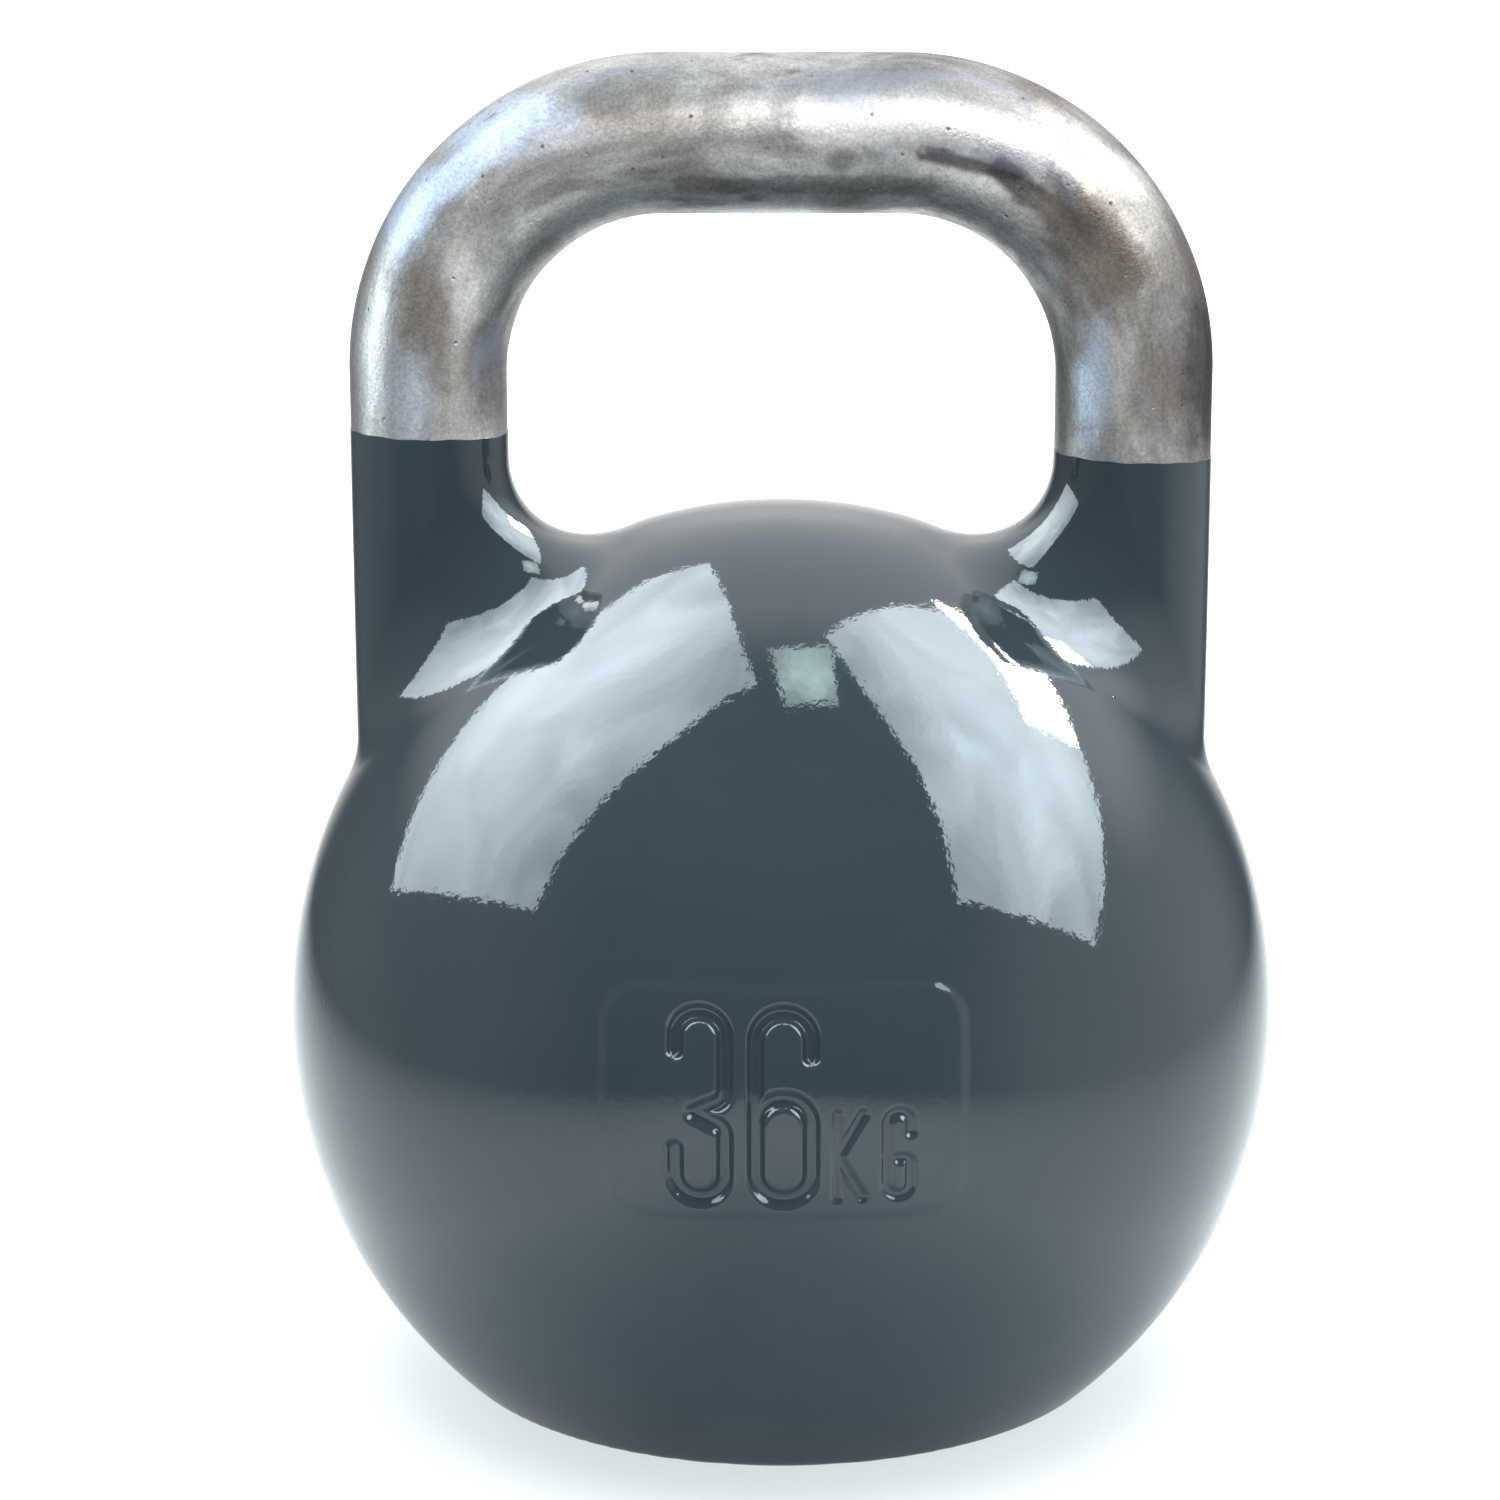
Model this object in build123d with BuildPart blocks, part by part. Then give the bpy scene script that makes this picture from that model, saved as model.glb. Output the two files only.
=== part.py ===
"""Competition kettlebell, 36 kg: a cast steel ball with a welded-on round bar handle and a ballast chamber.

The origin is on the flat base, under the centre of the ball. +Z is up and the weight mark faces -Y.
All sizes are in millimetres.
"""

import os
from math import radians, sqrt, tan

from build123d import *

# Driving sizes: ball and base
ball_diameter = 210.0
base_diameter = 139.5  # circle where the ball would meet the base plane with no edge radius
base_edge_radius = 6.0
wall_thickness = 45.0  # between the ball's face and the ballast chamber

# Driving sizes: handle
handle_diameter = 33.0
window_height = 63.5  # from the top of the ball to the underside of the handle
horn_setback = 15.0  # how far the outside of a horn stands inside the ball's widest line
handle_bend_radius = 49.0  # at the bar's centre line
horn_fillet = 20.0  # rolling-ball radius between a horn and the ball

# Driving sizes: weld and locating dowel at each end of the bar
weld_depth = 4.5
weld_bevel_angle = 30.0
weld_above_fillet = 0.5
dowel_diameter = 10.0
dowel_length = 24.0
dowel_clearance = 0.05
dowel_end_gap = 0.5
dowel_chamfer = 1.0

# Driving sizes: base port and plug
port_diameter = 54.0
plug_clearance = 0.1  # radial, all round the plug's shank and flange
flange_width = 8.0  # how far the flange stands out past the port
flange_thickness = 6.0
plug_recess = 2.0  # the plug stands this far inside the base plane
shank_length = 10.0
port_mouth_chamfer = 1.0
plug_edge_chamfer = 0.8
socket_across_flats = 22.0
socket_depth = 9.0

# Driving sizes: seal, lock screw, trim discs, cushion and ballast
seal_section = 2.0
seal_clearance = 0.02
lock_screw_diameter = 6.0
lock_screw_clearance = 0.05
lock_key_across_flats = 3.0
lock_key_depth = 3.0
disc_clearance = 0.5
disc_thicknesses = (2.0, 2.0, 1.0)
disc_hole_diameter = 8.0
cushion_thickness = 3.0
ballast_gap = 0.3  # shrinkage of the resin-bound shot as it sets

# Driving sizes: weight mark on the front of the ball, measured from the ball's centre
plaque_left, plaque_right = -34.0, 35.0
plaque_foot, plaque_head = -13.0, 31.0
plaque_corner_radius = 8.0
plaque_rise = 0.4
figure_foot, figure_head = -9.2, 26.4
figure_stroke = 4.0
figure_depth = 1.4
unit_foot, unit_head = -9.0, 7.3
unit_stroke = 2.2
unit_depth = 0.7
pen_bend = 0.48  # radius of a figure's round turns, over the width between its pen lines

# Sizes that follow
ball_radius = ball_diameter / 2
handle_radius = handle_diameter / 2
ball_height = sqrt(ball_radius**2 - (base_diameter / 2) ** 2)
ball_top = ball_height + ball_radius
horn_x = ball_radius - horn_setback - handle_radius
bar_height = ball_top + window_height + handle_radius
fillet_top = ball_height + sqrt((ball_radius + horn_fillet) ** 2 - (horn_x - handle_radius - horn_fillet) ** 2)
weld_reach = weld_depth * tan(radians(weld_bevel_angle))
joint_height = fillet_top + weld_above_fillet + weld_reach
chamber_radius = ball_radius - wall_thickness
port_radius = port_diameter / 2
bore_radius = port_radius + plug_clearance
flange_radius = port_radius + flange_width
pocket_radius = flange_radius + plug_clearance
seat_height = plug_recess + flange_thickness
plug_top = seat_height + shank_length
seal_seat = (2 + sqrt(2)) * (seal_section / 2 + seal_clearance) - plug_clearance
disc_radius = bore_radius - disc_clearance
cushion_base = plug_top + sum(disc_thicknesses)
cushion_top = cushion_base + cushion_thickness

os.makedirs("parts", exist_ok=True)


def save(finished, name):
    """Labels a finished piece and writes its STEP file."""
    finished.part.label = name
    export_step(finished.part, f"parts/{name}.step")


def stroke(points, radii, width):
    """One pen stroke with round ends along a filleted line."""
    with BuildLine() as pen:
        FilletPolyline(*points, radius=radii) if len(points) > 2 else Line(*points)
    trace(pen.edges(), line_width=width)
    with Locations(points[0], points[-1]):
        Circle(width / 2)


def figure_three(left, right, foot, head):
    """Strokes of a narrow figure 3 between two pen lines and two pen heights."""
    height = head - foot
    bend = pen_bend * (right - left)
    waist = foot + 0.47 * height
    bar_end = left + 0.45 * (right - left)
    upper_end = head - bend - 0.07 * height
    lower_end = foot + bend + 0.14 * height
    stroke(
        [(left, upper_end), (left, head), (right, head), (right, waist), (bar_end, waist)],
        [bend, bend, 0.36 * (right - left)],
        figure_stroke,
    )
    stroke(
        [(bar_end, waist), (right, waist), (right, foot), (left, foot), (left, lower_end)],
        [0.36 * (right - left), bend, bend],
        figure_stroke,
    )


def figure_six(left, right, foot, head):
    """Strokes of a narrow figure 6 between two pen lines and two pen heights."""
    height = head - foot
    bend = pen_bend * (right - left)
    bowl = foot + 0.55 * height
    bowl_side = bowl - 1.2 * bend
    hook_end = head - bend - 0.08 * height
    stroke(
        [(right, hook_end), (right, head), (left, head), (left, foot), (right, foot), (right, bowl_side)],
        [bend] * 4,
        figure_stroke,
    )
    stroke(
        [(right, bowl_side), (right, bowl), (left, bowl), (left, bowl_side)],
        [bend] * 2,
        figure_stroke,
    )


def letter_k(left, right, foot, head):
    """Strokes of a plain letter K."""
    middle = (foot + head) / 2
    stroke([(left, foot), (left, head)], [], unit_stroke)
    stroke([(left, middle), (right, head)], [], unit_stroke)
    stroke([(left, middle), (right, foot)], [], unit_stroke)


def letter_g(left, right, foot, head):
    """Strokes of a plain letter G."""
    height = head - foot
    bend = pen_bend * (right - left)
    hook_end = head - bend - 0.1 * height
    bar = foot + 0.45 * height
    stroke(
        [
            (right, hook_end),
            (right, head),
            (left, head),
            (left, foot),
            (right, foot),
            (right, bar),
            ((left + right) / 2, bar),
        ],
        [bend, bend, bend, bend, 0.27 * (right - left)],
        unit_stroke,
    )


# Weld ring that fills the V between a horn's end and the bar's end, one for each side
welds = {}
for side, sign in (("left", -1), ("right", 1)):
    with BuildPart() as weld:
        with BuildSketch(Plane.XZ.shift_origin((sign * horn_x, 0, joint_height))):
            with BuildLine():
                Polyline(
                    (handle_radius - weld_depth, 0),
                    (handle_radius, -weld_reach),
                    (handle_radius, weld_reach),
                    close=True,
                )
            make_face()
        revolve(axis=Axis((sign * horn_x, 0, 0), (0, 0, 1)))
    welds[side] = weld
    save(weld, f"handle_weld_{side}")

# Dowel that lines each end of the bar up with its horn before welding
for side, sign in (("left", -1), ("right", 1)):
    with BuildPart() as dowel:
        with BuildSketch(Plane.XY.offset(joint_height)):
            with Locations((sign * horn_x, 0)):
                Circle(dowel_diameter / 2)
        extrude(amount=dowel_length / 2, both=True)
        chamfer(dowel.edges().filter_by(GeomType.CIRCLE), dowel_chamfer)
    save(dowel, f"handle_dowel_{side}")

# Hole for the dowels, half in the horn and half in the bar
with BuildPart() as dowel_holes:
    with BuildSketch(Plane.XY.offset(joint_height)):
        with Locations((-horn_x, 0), (horn_x, 0)):
            Circle(dowel_diameter / 2 + dowel_clearance)
    extrude(amount=dowel_length / 2 + dowel_end_gap, both=True)

# Handle: one round bar with two bends, beveled at both ends for the welds
with BuildPart() as handle_bar:
    with BuildLine():
        FilletPolyline(
            (-horn_x, 0, joint_height),
            (-horn_x, 0, bar_height),
            (horn_x, 0, bar_height),
            (horn_x, 0, joint_height),
            radius=handle_bend_radius,
        )
    with BuildSketch(Plane.XY.offset(joint_height)):
        with Locations((-horn_x, 0)):
            Circle(handle_radius)
    sweep()
    add(dowel_holes.part, mode=Mode.SUBTRACT)
    add(welds["left"].part, mode=Mode.SUBTRACT)
    add(welds["right"].part, mode=Mode.SUBTRACT)
save(handle_bar, "handle_bar")

# Raised plaque: the part of a rounded block that stands just proud of the ball
mark_plane = Plane.XZ.offset(ball_radius / 2).shift_origin((0, -ball_radius / 2, ball_height))
with BuildPart() as plaque:
    with BuildSketch(mark_plane):
        with Locations(((plaque_left + plaque_right) / 2, (plaque_foot + plaque_head) / 2)):
            RectangleRounded(plaque_right - plaque_left, plaque_head - plaque_foot, plaque_corner_radius)
    extrude(amount=ball_radius)
    with Locations((0, 0, ball_height)):
        Sphere(ball_radius + plaque_rise, mode=Mode.INTERSECT)
    with Locations((0, 0, ball_height)):
        Sphere(ball_radius - 2 * plaque_rise, mode=Mode.SUBTRACT)

# Cutters for the weight mark, each equally deep all over
with BuildPart() as figures:
    with BuildSketch(mark_plane):
        figure_three(-20.2, -10.7, figure_foot, figure_head)
        figure_six(-4.8, 5.8, figure_foot, figure_head)
    extrude(amount=ball_radius)
    with Locations((0, 0, ball_height)):
        Sphere(ball_radius - figure_depth, mode=Mode.SUBTRACT)
with BuildPart() as units:
    with BuildSketch(mark_plane):
        letter_k(10.6, 15.4, unit_foot, unit_head)
        letter_g(20.1, 24.6, unit_foot, unit_head)
    extrude(amount=ball_radius)
    with Locations((0, 0, ball_height)):
        Sphere(ball_radius - unit_depth, mode=Mode.SUBTRACT)

# Lock screw's hole, half in the plug's flange and half in the ball
with BuildPart() as lock_hole:
    with BuildSketch():
        with Locations((0, flange_radius)):
            Circle(lock_screw_diameter / 2 + lock_screw_clearance)
    extrude(amount=seat_height)

# Ball: casting with two horns, a ballast chamber and a port in its base
with BuildPart() as bell_body:
    with BuildSketch(Plane.YZ) as ball_profile:
        with Locations((0, ball_height)):
            Circle(ball_radius)
        Rectangle(ball_radius, ball_top, align=(Align.MIN, Align.MIN), mode=Mode.INTERSECT)
        fillet(ball_profile.vertices().group_by(Axis.Y)[0].sort_by(Axis.X)[-1], base_edge_radius)
    revolve(axis=Axis.Z)
    with BuildSketch(Plane.XY.offset(ball_height)):
        with Locations((-horn_x, 0), (horn_x, 0)):
            Circle(handle_radius)
    extrude(amount=joint_height - ball_height)
    crease = bell_body.edges().filter_by(GeomType.CIRCLE, reverse=True).filter_by(GeomType.LINE, reverse=True)
    fillet(crease, horn_fillet)
    add(plaque.part)
    add(figures.part, mode=Mode.SUBTRACT)
    add(units.part, mode=Mode.SUBTRACT)
    with Locations((0, 0, ball_height)):
        Sphere(chamber_radius, mode=Mode.SUBTRACT)
    with BuildSketch():
        Circle(bore_radius)
    extrude(amount=ball_height, mode=Mode.SUBTRACT)
    with BuildSketch(Plane.XZ):
        with BuildLine():
            Polyline(
                (0, 0),
                (pocket_radius + port_mouth_chamfer, 0),
                (pocket_radius, port_mouth_chamfer),
                (pocket_radius, seat_height),
                (bore_radius + seal_seat, seat_height),
                (bore_radius, seat_height + seal_seat),
                (0, seat_height + seal_seat),
                close=True,
            )
        make_face()
    revolve(axis=Axis.Z, mode=Mode.SUBTRACT)
    add(lock_hole.part, mode=Mode.SUBTRACT)
    add(dowel_holes.part, mode=Mode.SUBTRACT)
    add(welds["left"].part, mode=Mode.SUBTRACT)
    add(welds["right"].part, mode=Mode.SUBTRACT)
save(bell_body, "bell_body")

# Base plug: flanged screw plug with a hexagon socket
with BuildPart() as base_plug:
    with BuildSketch(Plane.XY.offset(plug_recess)):
        Circle(flange_radius)
    extrude(amount=flange_thickness)
    chamfer(base_plug.edges().sort_by(Axis.Z)[0], plug_edge_chamfer)
    with BuildSketch(Plane.XY.offset(seat_height)):
        Circle(port_radius)
    extrude(amount=shank_length)
    chamfer(base_plug.edges().sort_by(Axis.Z)[-1], plug_edge_chamfer)
    with BuildSketch(Plane.XY.offset(plug_recess)):
        RegularPolygon(socket_across_flats / 2, 6, major_radius=False)
    extrude(amount=socket_depth, mode=Mode.SUBTRACT)
    add(lock_hole.part, mode=Mode.SUBTRACT)
save(base_plug, "base_plug")

# O-ring in the corner between the plug's flange, its shank and the bore's seat
with BuildPart() as plug_seal:
    seal_offset = seal_section / 2 + seal_clearance
    with BuildSketch(Plane.XZ):
        with Locations((port_radius + seal_offset, seat_height + seal_offset)):
            Circle(seal_section / 2)
    revolve(axis=Axis.Z)
save(plug_seal, "plug_seal")

# Lock screw: headless, across the line between the flange and the ball
with BuildPart() as lock_screw:
    with BuildSketch(Plane.XY.offset(plug_recess)):
        with Locations((0, flange_radius)):
            Circle(lock_screw_diameter / 2)
    extrude(amount=flange_thickness)
    with BuildSketch(Plane.XY.offset(plug_recess)):
        with Locations((0, flange_radius)):
            RegularPolygon(lock_key_across_flats / 2, 6, major_radius=False)
    extrude(amount=lock_key_depth, mode=Mode.SUBTRACT)
save(lock_screw, "lock_screw")

# Trim discs on top of the plug, each with a hole to lift it out by
disc_base = plug_top
for number, thickness in enumerate(disc_thicknesses, start=1):
    with BuildPart() as trim_disc:
        with BuildSketch(Plane.XY.offset(disc_base)):
            Circle(disc_radius)
            Circle(disc_hole_diameter / 2, mode=Mode.SUBTRACT)
        extrude(amount=thickness)
    save(trim_disc, f"trim_disc_{number}")
    disc_base += thickness

# Rubber cushion that presses the discs and the ballast apart
with BuildPart() as cushion:
    with BuildSketch(Plane.XY.offset(cushion_base)):
        Circle(disc_radius)
    extrude(amount=cushion_thickness)
save(cushion, "ballast_cushion")

# Ballast: iron shot bound in resin, set inside the chamber, with a stem that reaches the cushion
with BuildPart() as ballast_core:
    with Locations((0, 0, ball_height)):
        Sphere(chamber_radius - ballast_gap)
    with BuildSketch(Plane.XY.offset(cushion_top)):
        Circle(disc_radius)
    extrude(amount=ball_height - cushion_top)
    with BuildSketch():
        Circle(ball_radius)
    extrude(amount=cushion_top, mode=Mode.SUBTRACT)
save(ballast_core, "ballast_core")
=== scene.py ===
# 36 kg competition kettlebell: painted ball and horns, bare round handle, base plug.
# Metres, +Z up, weight mark towards -Y, standing on z = 0.
import math

import bpy
import numpy as np
from mathutils import Matrix, Vector


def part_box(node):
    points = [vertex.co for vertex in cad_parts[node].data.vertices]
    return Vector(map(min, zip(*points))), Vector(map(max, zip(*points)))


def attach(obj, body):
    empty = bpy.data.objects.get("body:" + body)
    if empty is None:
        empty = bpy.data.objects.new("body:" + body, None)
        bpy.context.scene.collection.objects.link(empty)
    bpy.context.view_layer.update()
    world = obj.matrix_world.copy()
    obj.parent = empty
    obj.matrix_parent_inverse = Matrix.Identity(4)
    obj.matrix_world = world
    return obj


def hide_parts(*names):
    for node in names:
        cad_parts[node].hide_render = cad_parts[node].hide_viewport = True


mm = 0.001
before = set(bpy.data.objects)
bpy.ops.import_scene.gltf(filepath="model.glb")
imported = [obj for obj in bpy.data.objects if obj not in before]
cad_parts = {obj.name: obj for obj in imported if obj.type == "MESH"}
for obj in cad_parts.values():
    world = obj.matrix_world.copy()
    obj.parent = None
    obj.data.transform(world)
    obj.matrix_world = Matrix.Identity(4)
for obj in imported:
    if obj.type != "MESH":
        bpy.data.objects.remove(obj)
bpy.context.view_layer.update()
print("stage: frame loaded")


# shared helpers
def unit(v):
    # each vector divided by its length
    return v / np.linalg.norm(v, axis=-1, keepdims=True)


def smooth(edge0, edge1, x):
    # 0 before edge0, 1 after edge1, an S-curve between
    t = np.clip((x - edge0) / (edge1 - edge0), 0.0, 1.0)
    return t * t * (3.0 - 2.0 * t)


def gridNormals(points, wrap):
    # normal = slope around the columns crossed with slope along the rows
    alongRows = np.gradient(points, axis=0)
    if wrap:
        around = np.roll(points, -1, axis=1) - np.roll(points, 1, axis=1)
    else:
        around = np.gradient(points, axis=1)
    return unit(np.cross(around, alongRows))


def gridQuads(rows, cols, wrap, keep=None):
    # four corner numbers for each cell of a rows by cols grid; wrap joins the last column to the first
    index = np.arange(rows * cols).reshape(rows, cols)
    if wrap:
        index = np.concatenate([index, index[:, :1]], axis=1)
    quads = np.stack([index[:-1, :-1], index[:-1, 1:], index[1:, 1:], index[1:, :-1]], axis=-1)
    if keep is not None:
        quads = quads[keep]
    return quads.reshape(-1, 4)


def makePiece(name, points, normals, quads, material, nodes, places=None):
    # flat arrays of points and normals plus four-sided faces, which turn to face the way the normals do
    diagonalA = points[quads[:, 2]] - points[quads[:, 0]]
    diagonalB = points[quads[:, 3]] - points[quads[:, 1]]
    if np.sum(np.cross(diagonalA, diagonalB) * normals[quads[:, 0]]) < 0:
        quads = quads[:, ::-1]
    used = np.unique(quads)
    renumber = np.zeros(len(points), int)
    renumber[used] = np.arange(len(used))
    quads = renumber[quads]
    points, normals = points[used], normals[used]
    mesh = bpy.data.meshes.new(name)
    mesh.from_pydata(points.tolist(), [], quads.tolist())
    mesh.update()
    mesh.shade_smooth()
    if places is not None:
        layer = mesh.attributes.new("barPlace", "FLOAT_VECTOR", "POINT")
        layer.data.foreach_set("vector", places[used].astype(np.float32).ravel())
    mesh.normals_split_custom_set_from_vertices(normals.tolist())
    mesh.materials.append(material)
    piece = bpy.data.objects.new(name, mesh)
    bpy.context.scene.collection.objects.link(piece)
    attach(piece, "root")
    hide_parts(*nodes)
    return piece


def newMaterial(name):
    material = bpy.data.materials.new(name)
    material.use_nodes = True
    tree = material.node_tree
    tree.nodes.clear()
    out = tree.nodes.new("ShaderNodeOutputMaterial")
    shader = tree.nodes.new("ShaderNodeBsdfPrincipled")
    link(tree, shader.outputs["BSDF"], out.inputs["Surface"])
    return material, tree, shader


def link(tree, source, target):
    tree.links.new(source, target)


def addNode(tree, kind, values=None, **settings):
    # a value that is another node's output becomes a link
    node = tree.nodes.new(kind)
    for key, value in settings.items():
        setattr(node, key, value)
    for key, value in (values or {}).items():
        if isinstance(value, bpy.types.NodeSocket):
            link(tree, value, node.inputs[key])
        else:
            node.inputs[key].default_value = value
    return node


def maths(tree, operation, *values):
    return addNode(tree, "ShaderNodeMath", dict(enumerate(values)), operation=operation).outputs[0]


def vectorMaths(tree, operation, *values):
    node = addNode(tree, "ShaderNodeVectorMath", dict(enumerate(values)), operation=operation)
    return node.outputs["Value" if operation in ("LENGTH", "DISTANCE", "DOT_PRODUCT") else "Vector"]


def rangeNode(tree, value, low, high, toLow=0.0, toHigh=1.0, curve="SMOOTHSTEP"):
    # toLow where value is low, toHigh where it is high, held beyond both
    values = {"Value": value, "From Min": low, "From Max": high, "To Min": toLow, "To Max": toHigh}
    return addNode(tree, "ShaderNodeMapRange", values, interpolation_type=curve).outputs["Result"]


def noiseNode(tree, vector, scale, detail, roughness, distortion=0.0):
    return addNode(tree, "ShaderNodeTexNoise", {
        "Vector": vector, "Scale": scale, "Detail": detail, "Roughness": roughness, "Distortion": distortion,
    }).outputs


def rampNode(tree, source, stops):
    ramp = addNode(tree, "ShaderNodeValToRGB", {"Fac": source})
    elements = ramp.color_ramp.elements
    while len(elements) < len(stops):
        elements.new(0.5)
    for element, (place, colour) in zip(elements, stops):
        element.position = place
        element.color = (*colour, 1.0)
    return ramp.outputs["Color"]


def bumpNode(tree, height, distance, strength=1.0, **more):
    values = {"Strength": strength, "Distance": distance, "Height": height}
    if "below" in more:
        values["Normal"] = more.pop("below")
    return addNode(tree, "ShaderNodeBump", values, **more).outputs["Normal"]


# node groups
def newGroup(name, inputs, outputName):
    # inputs: name and default value, None for a place
    group = bpy.data.node_groups.new(name, "ShaderNodeTree")
    for label, value in inputs.items():
        kind = "NodeSocketVector" if value is None else "NodeSocketFloat"
        socket = group.interface.new_socket(name=label, in_out="INPUT", socket_type=kind)
        if value is not None:
            socket.default_value = value
    group.interface.new_socket(name=outputName, in_out="OUTPUT", socket_type="NodeSocketFloat")
    given = group.nodes.new("NodeGroupInput").outputs
    return group, given, group.nodes.new("NodeGroupOutput").inputs[outputName]


def useGroup(tree, group, vector, **values):
    return addNode(tree, "ShaderNodeGroup", {"Vector": vector, **values}, node_tree=group).outputs[0]


def makeMottleGroup():
    # soft cloudy mask: a noise, 0 below Low and 1 above High
    inputs = {"Vector": None, "Scale": 40.0, "Low": 0.35, "High": 0.65}
    group, given, mask = newGroup("mottle", inputs, "Mask")
    broad = noiseNode(group, given["Vector"], given["Scale"], 6.0, 0.62, 0.6)
    link(group, rangeNode(group, broad["Fac"], given["Low"], given["High"]), mask)
    return group


def makePeelGroup():
    # orange peel: a fine noise plus 0.9 of one five times as broad, as a height
    group, given, height = newGroup("orangePeel", {"Vector": None, "Scale": 260.0}, "Height")
    fine = noiseNode(group, given["Vector"], given["Scale"], 2.0, 0.5)
    wider = maths(group, "MULTIPLY", given["Scale"], 0.2)
    broad = noiseNode(group, given["Vector"], wider, 3.0, 0.55)
    link(group, maths(group, "MULTIPLY_ADD", broad["Fac"], 0.9, fine["Fac"]), height)
    return group


def makePitGroup():
    # scattered small round pits: 1 inside a pit, 0 outside; only a share of the cells has one
    inputs = {"Vector": None, "Scale": 120.0, "Size": 0.12, "Share": 0.2}
    group, given, mask = newGroup("pits", inputs, "Mask")
    cells = addNode(group, "ShaderNodeTexVoronoi", {
        "Vector": given["Vector"], "Scale": given["Scale"], "Randomness": 1.0,
    })
    spot = rangeNode(group, cells.outputs["Distance"], 0.0, given["Size"], 1.0, 0.0)
    pick = addNode(group, "ShaderNodeSeparateColor", {"Color": cells.outputs["Color"]})
    chosen = maths(group, "LESS_THAN", pick.outputs["Red"], given["Share"])
    link(group, maths(group, "MULTIPLY", spot, chosen), mask)
    return group


mottleGroup = makeMottleGroup()
peelGroup = makePeelGroup()
pitGroup = makePitGroup()


# materials
enamel = dict(
    deep=(0.033, 0.052, 0.065),
    light=(0.039, 0.060, 0.074),
    cloudScale=14.0,
    roughness=0.045,
    peelScale=620.0,
    peelHeight=0.000022,
    nibs=dict(Scale=90.0, Size=0.06, Share=0.12),  # dust caught in the paint
    nibHeight=0.00008,
)


def makeEnamel():
    # slightly cloudy gloss paint with orange peel and a few dust nibs
    material, tree, shader = newMaterial("greyBlueEnamel")
    place = addNode(tree, "ShaderNodeTexCoord").outputs["Object"]
    cloud = useGroup(tree, mottleGroup, place, Scale=enamel["cloudScale"], Low=0.3, High=0.7)
    tint = rampNode(tree, cloud, [(0.0, enamel["deep"]), (1.0, enamel["light"])])
    link(tree, tint, shader.inputs["Base Color"])
    shader.inputs["Roughness"].default_value = enamel["roughness"]
    shader.inputs["IOR"].default_value = 1.5
    shader.inputs["Specular IOR Level"].default_value = 0.5
    peel = useGroup(tree, peelGroup, place, Scale=enamel["peelScale"])
    skin = bumpNode(tree, peel, enamel["peelHeight"])
    nibs = useGroup(tree, pitGroup, place, **enamel["nibs"])
    link(tree, bumpNode(tree, nibs, enamel["nibHeight"], below=skin), shader.inputs["Normal"])
    return material


steel = dict(
    dark=(0.13, 0.12, 0.112),
    middle=(0.33, 0.325, 0.32),
    bright=(0.60, 0.595, 0.58),
    blue=(0.33, 0.37, 0.47),
    stain=(0.045, 0.040, 0.036),
    nick=(0.85, 0.84, 0.80),
    roughLow=0.36,
    roughHigh=0.58,
    # scale along the bar compared with across it, noise scale, levels where it starts and where it is full
    tone=(0.5, 48.0, 0.22, 0.72),
    streaks=(0.10, 420.0, 0.30, 0.70),
    blueing=(0.3, 60.0, 0.50, 0.72),
    stains=(0.6, 75.0, 0.60, 0.72),
    gritScale=1500.0,
    grainScale=1400.0,
    grainHeight=0.00009,
    pitDepth=0.0002,
    pits=dict(Scale=330.0, Size=0.20, Share=0.16),
    nicks=dict(Scale=130.0, Size=0.07, Share=0.10),
    markWobble=130.0,
    markDepth=0.25,  # depth counts for a quarter, so a stripe wraps round the bar's front
)
brown, dark = (0.20, 0.175, 0.155), (0.055, 0.052, 0.055)
# the pale colour is a painted highlight and the sky blue a painted reflection of the bluish window light
paleHighlight, skyReflection = (0.80, 0.79, 0.77), (0.55, 0.63, 0.76)

# straight stripes on the bar, of stains, painted highlights, painted reflections and painted shade: start,
# end, half width (mm), colour, strength
stainAndLightStripes = [
    ((29, -16, 260.5), (47, -15, 256), 1.7, dark, 0.85),  # dark streak on the grip's front below its middle, right
    ((44, -15, 257), (60, -13, 246), 2.6, dark, 0.85),
    ((57, -13, 250), (70, -14, 236), 5.5, brown, 0.85),
    ((-20, -14, 254.0), (30, -14, 253.5), 2.0, dark, 0.45),  # shadowed band low on the grip
    ((-78, -12, 246), (-50, -12, 269), 3.6, skyReflection, 0.75),
    ((-60, -14, 262), (-18, -14, 266), 3.0, paleHighlight, 0.25),
    ((6, -14, 267), (52, -14, 265), 4.5, paleHighlight, 0.65),
    ((60, -14, 264), (80, -12, 250), 2.6, paleHighlight, 0.40),
]
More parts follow.
